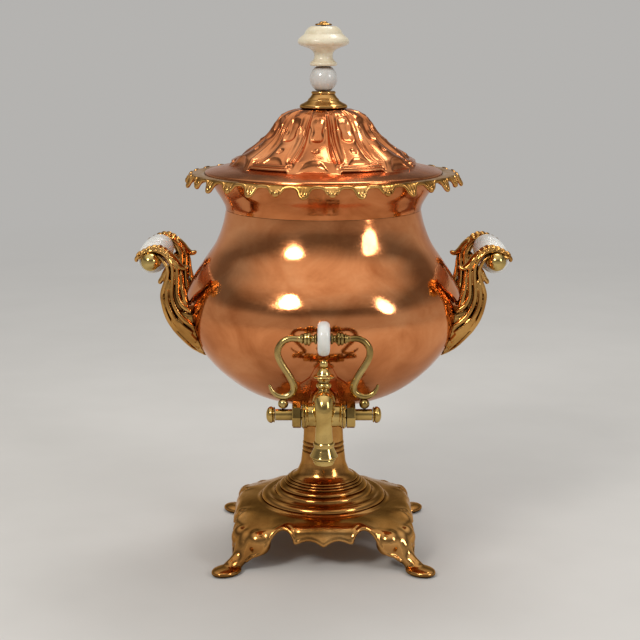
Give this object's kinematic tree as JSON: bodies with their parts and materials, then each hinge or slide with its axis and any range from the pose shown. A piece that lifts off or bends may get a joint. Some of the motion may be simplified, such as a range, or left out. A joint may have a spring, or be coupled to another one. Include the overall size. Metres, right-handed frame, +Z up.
{
  "type": "samovar",
  "caption": "Pear-shaped copper tea urn on a brass pedestal and footed plinth, with a lift-off lobed lid, scrolled side handles and a lever tap at the front.",
  "frame": {"origin": "under the middle of the whole object's box, on the surface that it stands on; the urn's own upright axis stands behind it, at +Y", "axes": "+Z up along the urn's axis, -Y towards the tap and the user, +X towards the right handle as the user sees it"},
  "size_m": [0.3116, 0.2928, 0.4495],
  "materials": {
    "copper": "polished copper with soft wear",
    "cast_brass": "polished cast brass, warm",
    "dark_brass": "polished cast brass with dark recesses",
    "tap_brass": "polished yellow brass",
    "tinned_copper": "dull tin over copper",
    "steel": "plain steel",
    "iron": "bare iron, dark with use",
    "white_ceramic": "white glaze",
    "cream_ceramic": "cream glaze, slightly yellowed"
  },
  "bodies": {
    "root": {"plinth": "cast_brass", "pedestal": "cast_brass", "bowl_seat": "cast_brass", "plinth_washer": "steel", "tie_rod_nut": "steel", "tie_rod": "steel", "heater_sleeve": "tinned_copper", "bowl": "copper", "neck": "copper", "scalloped_rim": "cast_brass", "tap_escutcheon": "copper", "tap_back_wedge": "tap_brass", "tap_back_nut": "tap_brass", "tap_body": "tap_brass", "tap_nozzle": "tap_brass", "tap_finial": "tap_brass", "tap_washer_left": "tap_brass", "tap_washer_right": "tap_brass", "gland_nut_left": "tap_brass", "gland_nut_right": "tap_brass", "handle_casting_left": "dark_brass", "handle_casting_right": "dark_brass", "handle_grip_left": "white_ceramic", "handle_grip_right": "white_ceramic", "handle_bolt_left": "steel", "handle_bolt_right": "steel", "ball_nut_left_front": "cast_brass", "ball_nut_left_rear": "cast_brass", "ball_nut_right_front": "cast_brass", "ball_nut_right_rear": "cast_brass"},
    "lid": {"lid_dome": "copper", "lid_bezel": "tinned_copper", "finial_collar": "cast_brass", "finial_ball": "white_ceramic", "finial_knob": "cream_ceramic", "finial_rosette": "cast_brass", "finial_nut": "cast_brass", "finial_rod": "steel"},
    "heater": {"heater_iron": "iron", "heater_stem": "iron", "heater_cap": "tinned_copper", "heater_ring": "iron"},
    "tap_lever": {"tap_plug": "tap_brass", "spindle_knob_left": "tap_brass", "spindle_knob_right": "tap_brass", "lever_ball_left": "tap_brass", "lever_ball_right": "tap_brass", "lever_arm_left": "tap_brass", "lever_arm_right": "tap_brass", "lever_ferrule_left": "tap_brass", "lever_ferrule_right": "tap_brass", "lever_disc": "white_ceramic", "lever_pin": "steel"}
  },
  "joints": [
    {"name": "lid_lift", "type": "slide", "parent": "root", "child": "lid", "axis": [0, 0, 1], "range_m": [0, 0.12]},
    {"name": "heater_lift", "type": "slide", "parent": "root", "child": "heater", "axis": [0, 0, 1], "range_m": [0, 0.045]},
    {"name": "tap_turn", "type": "hinge", "parent": "root", "child": "tap_lever", "pos_m": [0, -0.10655, 0.1518], "axis": [1, 0, 0], "range_deg": [0, 90]}
  ]
}
